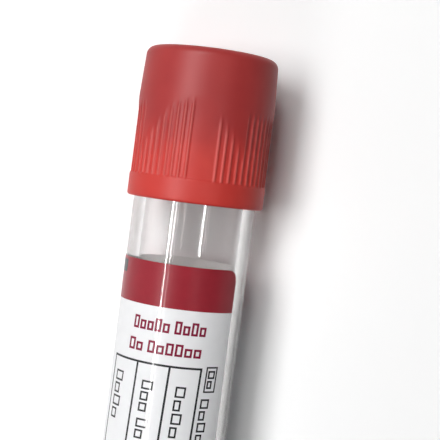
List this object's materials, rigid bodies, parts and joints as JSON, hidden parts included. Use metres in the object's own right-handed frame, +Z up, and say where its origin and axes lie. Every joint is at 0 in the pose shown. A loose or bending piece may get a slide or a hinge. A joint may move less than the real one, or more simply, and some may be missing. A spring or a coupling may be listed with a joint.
{
  "type": "blood collection tube",
  "caption": "Clear round-bottomed blood collection tube with a wrapped label and a ribbed pull-off cap over a rubber stopper, lying on its side.",
  "frame": {"origin": "centre of the footprint, on the surface that the tube lies on", "axes": "+Y along the tube towards its cap, with the cap's end lifted by two thirds of a degree; +Z up"},
  "size_m": [0.0178, 0.1044, 0.0179],
  "materials": {
    "tube_clear": "clear, polished",
    "label_film": "white printed film, satin, with a dark red band",
    "cap_red": "moulded, satin, slightly translucent red",
    "stopper_rubber": "matte grey rubber"
  },
  "bodies": {
    "tube_body": {"tube": "tube_clear", "label": "label_film"},
    "closure": {"cap": "cap_red", "stopper": "stopper_rubber"}
  },
  "joints": [
    {"name": "closure_pull", "type": "slide", "parent": "tube_body", "child": "closure", "axis": [0, 0.9999, 0.0116], "range_m": [0, 0.03]}
  ]
}
